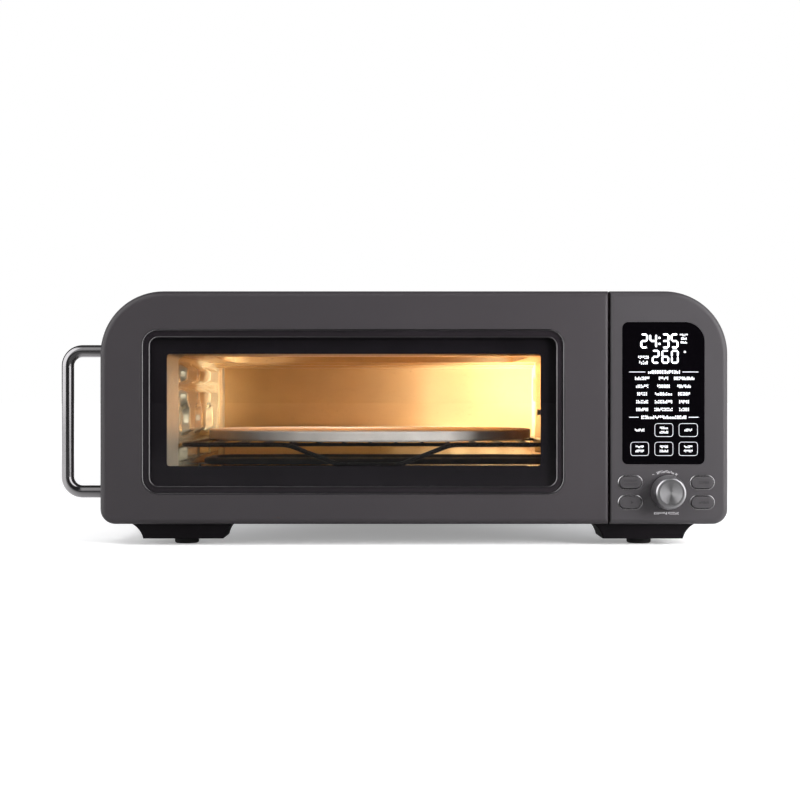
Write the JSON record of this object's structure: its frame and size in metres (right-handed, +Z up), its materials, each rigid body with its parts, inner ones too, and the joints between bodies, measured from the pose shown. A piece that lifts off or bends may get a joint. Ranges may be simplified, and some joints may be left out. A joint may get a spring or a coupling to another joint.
{
  "type": "electric pizza oven",
  "caption": "Wide, low countertop electric pizza oven: side-hung glass door, round stone on a wire rack, control panel with display, keys and push-turn knob.",
  "frame": {"origin": "under the middle of the whole oven's box, on the surface it stands on", "axes": "+X to the user's right along the front, +Y to the back of the oven, +Z up"},
  "size_m": [0.5598, 0.3984, 0.2138],
  "materials": {
    "coated_steel": "satin dark grey coating",
    "coated_plastic": "satin dark grey",
    "button_plastic": "satin dark grey with a bright ring",
    "bezel_black": "gloss black with fine bright rims",
    "window_glass": "clear tempered",
    "display_glass": "black gloss",
    "handle_chrome": "dark polished chrome",
    "knob_metal": "turned, grey",
    "leg_plastic": "black",
    "foot_rubber": "black",
    "seal_silicone": "dark grey silicone",
    "cavity_steel": "aluminised sheet",
    "frame_steel": "black enamel",
    "rack_steel": "dark nickel",
    "tray_steel": "dark enamel",
    "stone_ceramic": "fired cordierite, matt",
    "heater_sheath": "dark oxidised",
    "bead_ceramic": "white",
    "zinc_steel": "zinc plated",
    "fastener_steel": "black zinc",
    "magnet_iron": "dark",
    "fan_aluminium": "pressed",
    "shaft_steel": "ground",
    "motor_iron": "laminated",
    "board_green": "solder mask",
    "module_black": "black",
    "wool": "glass wool",
    "bulb_glass": "clear"
  },
  "bodies": {
    "housing": {"front_frame": "frame_steel", "outer_wrap": "coated_steel", "base_pan": "zinc_steel", "back_panel": "coated_steel", "back_screws": "fastener_steel", "cord_gland": "leg_plastic", "legs": "leg_plastic", "rubber_feet": "foot_rubber", "leg_screws": "fastener_steel", "control_panel": "coated_plastic", "display_glass": "display_glass", "display_module": "module_black", "control_board": "board_green", "encoder_body": "module_black", "cavity_left_wall": "cavity_steel", "cavity_right_wall": "cavity_steel", "cavity_back_wall": "cavity_steel", "cavity_ceiling": "cavity_steel", "cavity_floor": "cavity_steel", "insulation": "wool", "lower_heater": "heater_sheath", "upper_heater": "heater_sheath", "heater_terminals": "bead_ceramic", "heater_brackets": "zinc_steel", "fan_housing": "zinc_steel", "fan_motor": "motor_iron", "lamp_lens": "window_glass", "lamp_holder": "zinc_steel", "lamp_bulb": "bulb_glass", "temperature_probe": "zinc_steel", "power_board": "board_green", "power_bracket": "zinc_steel", "door_magnet": "magnet_iron", "hinge_arms": "zinc_steel", "hinge_screws": "fastener_steel"},
    "door": {"door_frame": "coated_steel", "window_bezel": "bezel_black", "outer_glass": "window_glass", "inner_glass": "window_glass", "glass_clips": "zinc_steel", "door_liner": "frame_steel", "door_seal": "seal_silicone", "door_handle": "handle_chrome", "handle_screws": "fastener_steel", "hinge_blocks": "zinc_steel", "hinge_pins": "fastener_steel", "strike_plate": "zinc_steel"},
    "rack": {"wire_rack": "rack_steel"},
    "stone": {"pizza_stone": "stone_ceramic"},
    "tray": {"crumb_tray": "tray_steel"},
    "fan": {"fan_blade": "fan_aluminium", "fan_shaft": "shaft_steel"},
    "plunger": {"encoder_plunger": "leg_plastic"},
    "knob": {"encoder_shaft": "shaft_steel", "select_knob": "knob_metal"},
    "upper_left_button": {"upper_left_button": "button_plastic"},
    "lower_left_button": {"lower_left_button": "button_plastic"},
    "upper_right_button": {"upper_right_button": "button_plastic"},
    "lower_right_button": {"lower_right_button": "button_plastic"}
  },
  "joints": [
    {"name": "door_hinge", "type": "hinge", "parent": "housing", "child": "door", "pos_m": [0.16567, -0.1738, 0.1163], "axis": [0, 0, 1], "range_deg": [0, 105]},
    {"name": "rack_slide", "type": "slide", "parent": "housing", "child": "rack", "axis": [0, -1, 0], "range_m": [0, 0.008]},
    {"name": "stone_lift", "type": "slide", "parent": "rack", "child": "stone", "axis": [0, 0, 1], "range_m": [0, 0.03]},
    {"name": "tray_slide", "type": "slide", "parent": "housing", "child": "tray", "axis": [0, -1, 0], "range_m": [0, 0.008]},
    {"name": "knob_push", "type": "slide", "parent": "housing", "child": "plunger", "axis": [0, 1, 0], "range_m": [0, 0.0012], "stiffness_N_per_m": 1500, "springref_m": -0.001},
    {"name": "knob_turn", "type": "hinge", "parent": "plunger", "child": "knob", "pos_m": [0.22928, -0.1837, 0.0458], "axis": [0, 1, 0], "continuous": true},
    {"name": "fan_spin", "type": "hinge", "parent": "housing", "child": "fan", "pos_m": [0.14947, -0.0058, 0.112], "axis": [1, 0, 0], "continuous": true},
    {"name": "upper_left_button_push", "type": "slide", "parent": "housing", "child": "upper_left_button", "axis": [0, 1, 0], "range_m": [0, 0.0012], "stiffness_N_per_m": 1200, "springref_m": -0.001},
    {"name": "lower_left_button_push", "type": "slide", "parent": "housing", "child": "lower_left_button", "axis": [0, 1, 0], "range_m": [0, 0.0012], "stiffness_N_per_m": 1200, "springref_m": -0.001},
    {"name": "upper_right_button_push", "type": "slide", "parent": "housing", "child": "upper_right_button", "axis": [0, 1, 0], "range_m": [0, 0.0012], "stiffness_N_per_m": 1200, "springref_m": -0.001},
    {"name": "lower_right_button_push", "type": "slide", "parent": "housing", "child": "lower_right_button", "axis": [0, 1, 0], "range_m": [0, 0.0012], "stiffness_N_per_m": 1200, "springref_m": -0.001}
  ]
}
